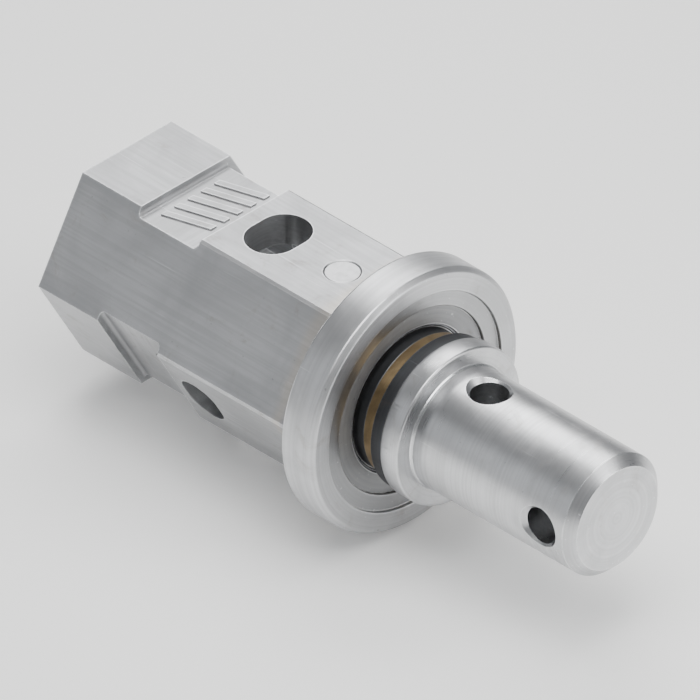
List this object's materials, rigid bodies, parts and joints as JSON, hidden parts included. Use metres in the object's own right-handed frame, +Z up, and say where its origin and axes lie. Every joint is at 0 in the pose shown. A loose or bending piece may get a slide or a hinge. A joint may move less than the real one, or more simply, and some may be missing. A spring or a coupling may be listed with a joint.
{
  "type": "quick change hex drive adapter",
  "caption": "Quick-change drive adapter: hexagonal socket hub with pin slots and stop flange, and a sliding round output shaft with cross holes, kept by a push-button lock.",
  "frame": {"origin": "centre of the hexagonal socket's open end, on the drive axis", "axes": "+X along the drive axis from the open socket to the output shaft's end, +Z up through the flat that holds the lock button"},
  "size_m": [0.3325, 0.141, 0.141],
  "materials": {
    "hub_steel": "milled flats with a light satin sheen",
    "flange_steel": "turned, with fine rings",
    "weld_metal": "rippled fillet weld",
    "bronze": "turned bearing bronze, dulled",
    "spring_steel": "oiled spring steel",
    "button_steel": "ground and plated",
    "seal_rubber": "matt black nitrile",
    "shaft_steel": "turned and ground",
    "ring_steel": "turned, black oxide, oiled"
  },
  "bodies": {
    "hub": {"hex_hub": "hub_steel", "stop_flange": "flange_steel", "flange_weld": "weld_metal", "guide_bush": "bronze", "snap_ring": "spring_steel", "spring_seat": "spring_steel", "button_spring": "spring_steel"},
    "lock": {"lock_button": "button_steel", "button_oring": "seal_rubber", "lock_stem": "button_steel"},
    "shaft": {"drive_shaft": "shaft_steel", "neck_oring": "seal_rubber", "seal_ring": "ring_steel", "wear_ring": "bronze", "buffer_ring": "ring_steel", "thrust_collar": "shaft_steel"}
  },
  "joints": [
    {"name": "shaft_slide", "type": "slide", "parent": "hub", "child": "shaft", "axis": [1, 0, 0], "range_m": [-0.013, 0]},
    {"name": "lock_press", "type": "slide", "parent": "hub", "child": "lock", "axis": [0, 0, -1], "range_m": [0, 0.0055], "stiffness_N_per_m": 2500, "springref_m": -0.006, "deforming": ["button_spring"]}
  ]
}
